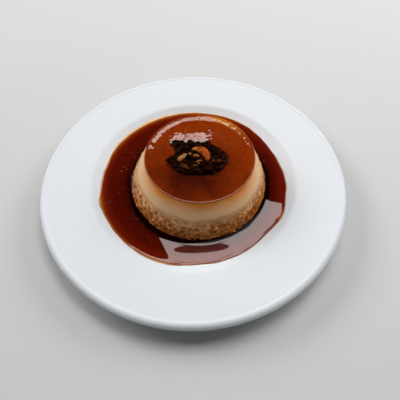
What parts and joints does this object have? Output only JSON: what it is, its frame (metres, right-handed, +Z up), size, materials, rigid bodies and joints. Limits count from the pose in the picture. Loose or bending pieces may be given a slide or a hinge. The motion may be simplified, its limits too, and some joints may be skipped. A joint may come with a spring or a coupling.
{
  "type": "creme caramel flan",
  "caption": "Creme caramel flan turned out on a round white plate, ringed by a pool of dark caramel, its glazed top holding a dark fruit and nut topping.",
  "frame": {"origin": "on the table under the middle of the plate", "axes": "+Z up, +Y towards the far side as served, +X to the right"},
  "size_m": [0.2, 0.2, 0.0396],
  "materials": {
    "porcelain": "glazed porcelain, smooth and glossy",
    "custard": "moist baked custard, satin",
    "caramel_glaze": "set caramel glaze, wet gloss",
    "caramel_sauce": "liquid caramel, wet gloss",
    "soaked_fruit": "syrup-soaked dark dried fruit, glossy",
    "candied_apricot": "candied apricot, glossy",
    "nut": "broken nut, satin",
    "glazed_nut": "caramel-glazed nut, glossy",
    "date": "soaked date skin, glossy"
  },
  "bodies": {
    "root": {"plate": "porcelain", "custard": "custard", "caramel_top": "caramel_glaze", "caramel_pool": "caramel_sauce", "fruit_topping": "soaked_fruit", "apricot_piece": "candied_apricot", "walnut_piece": "nut", "almond_piece": "glazed_nut", "date_sliver": "date"}
  },
  "joints": []
}
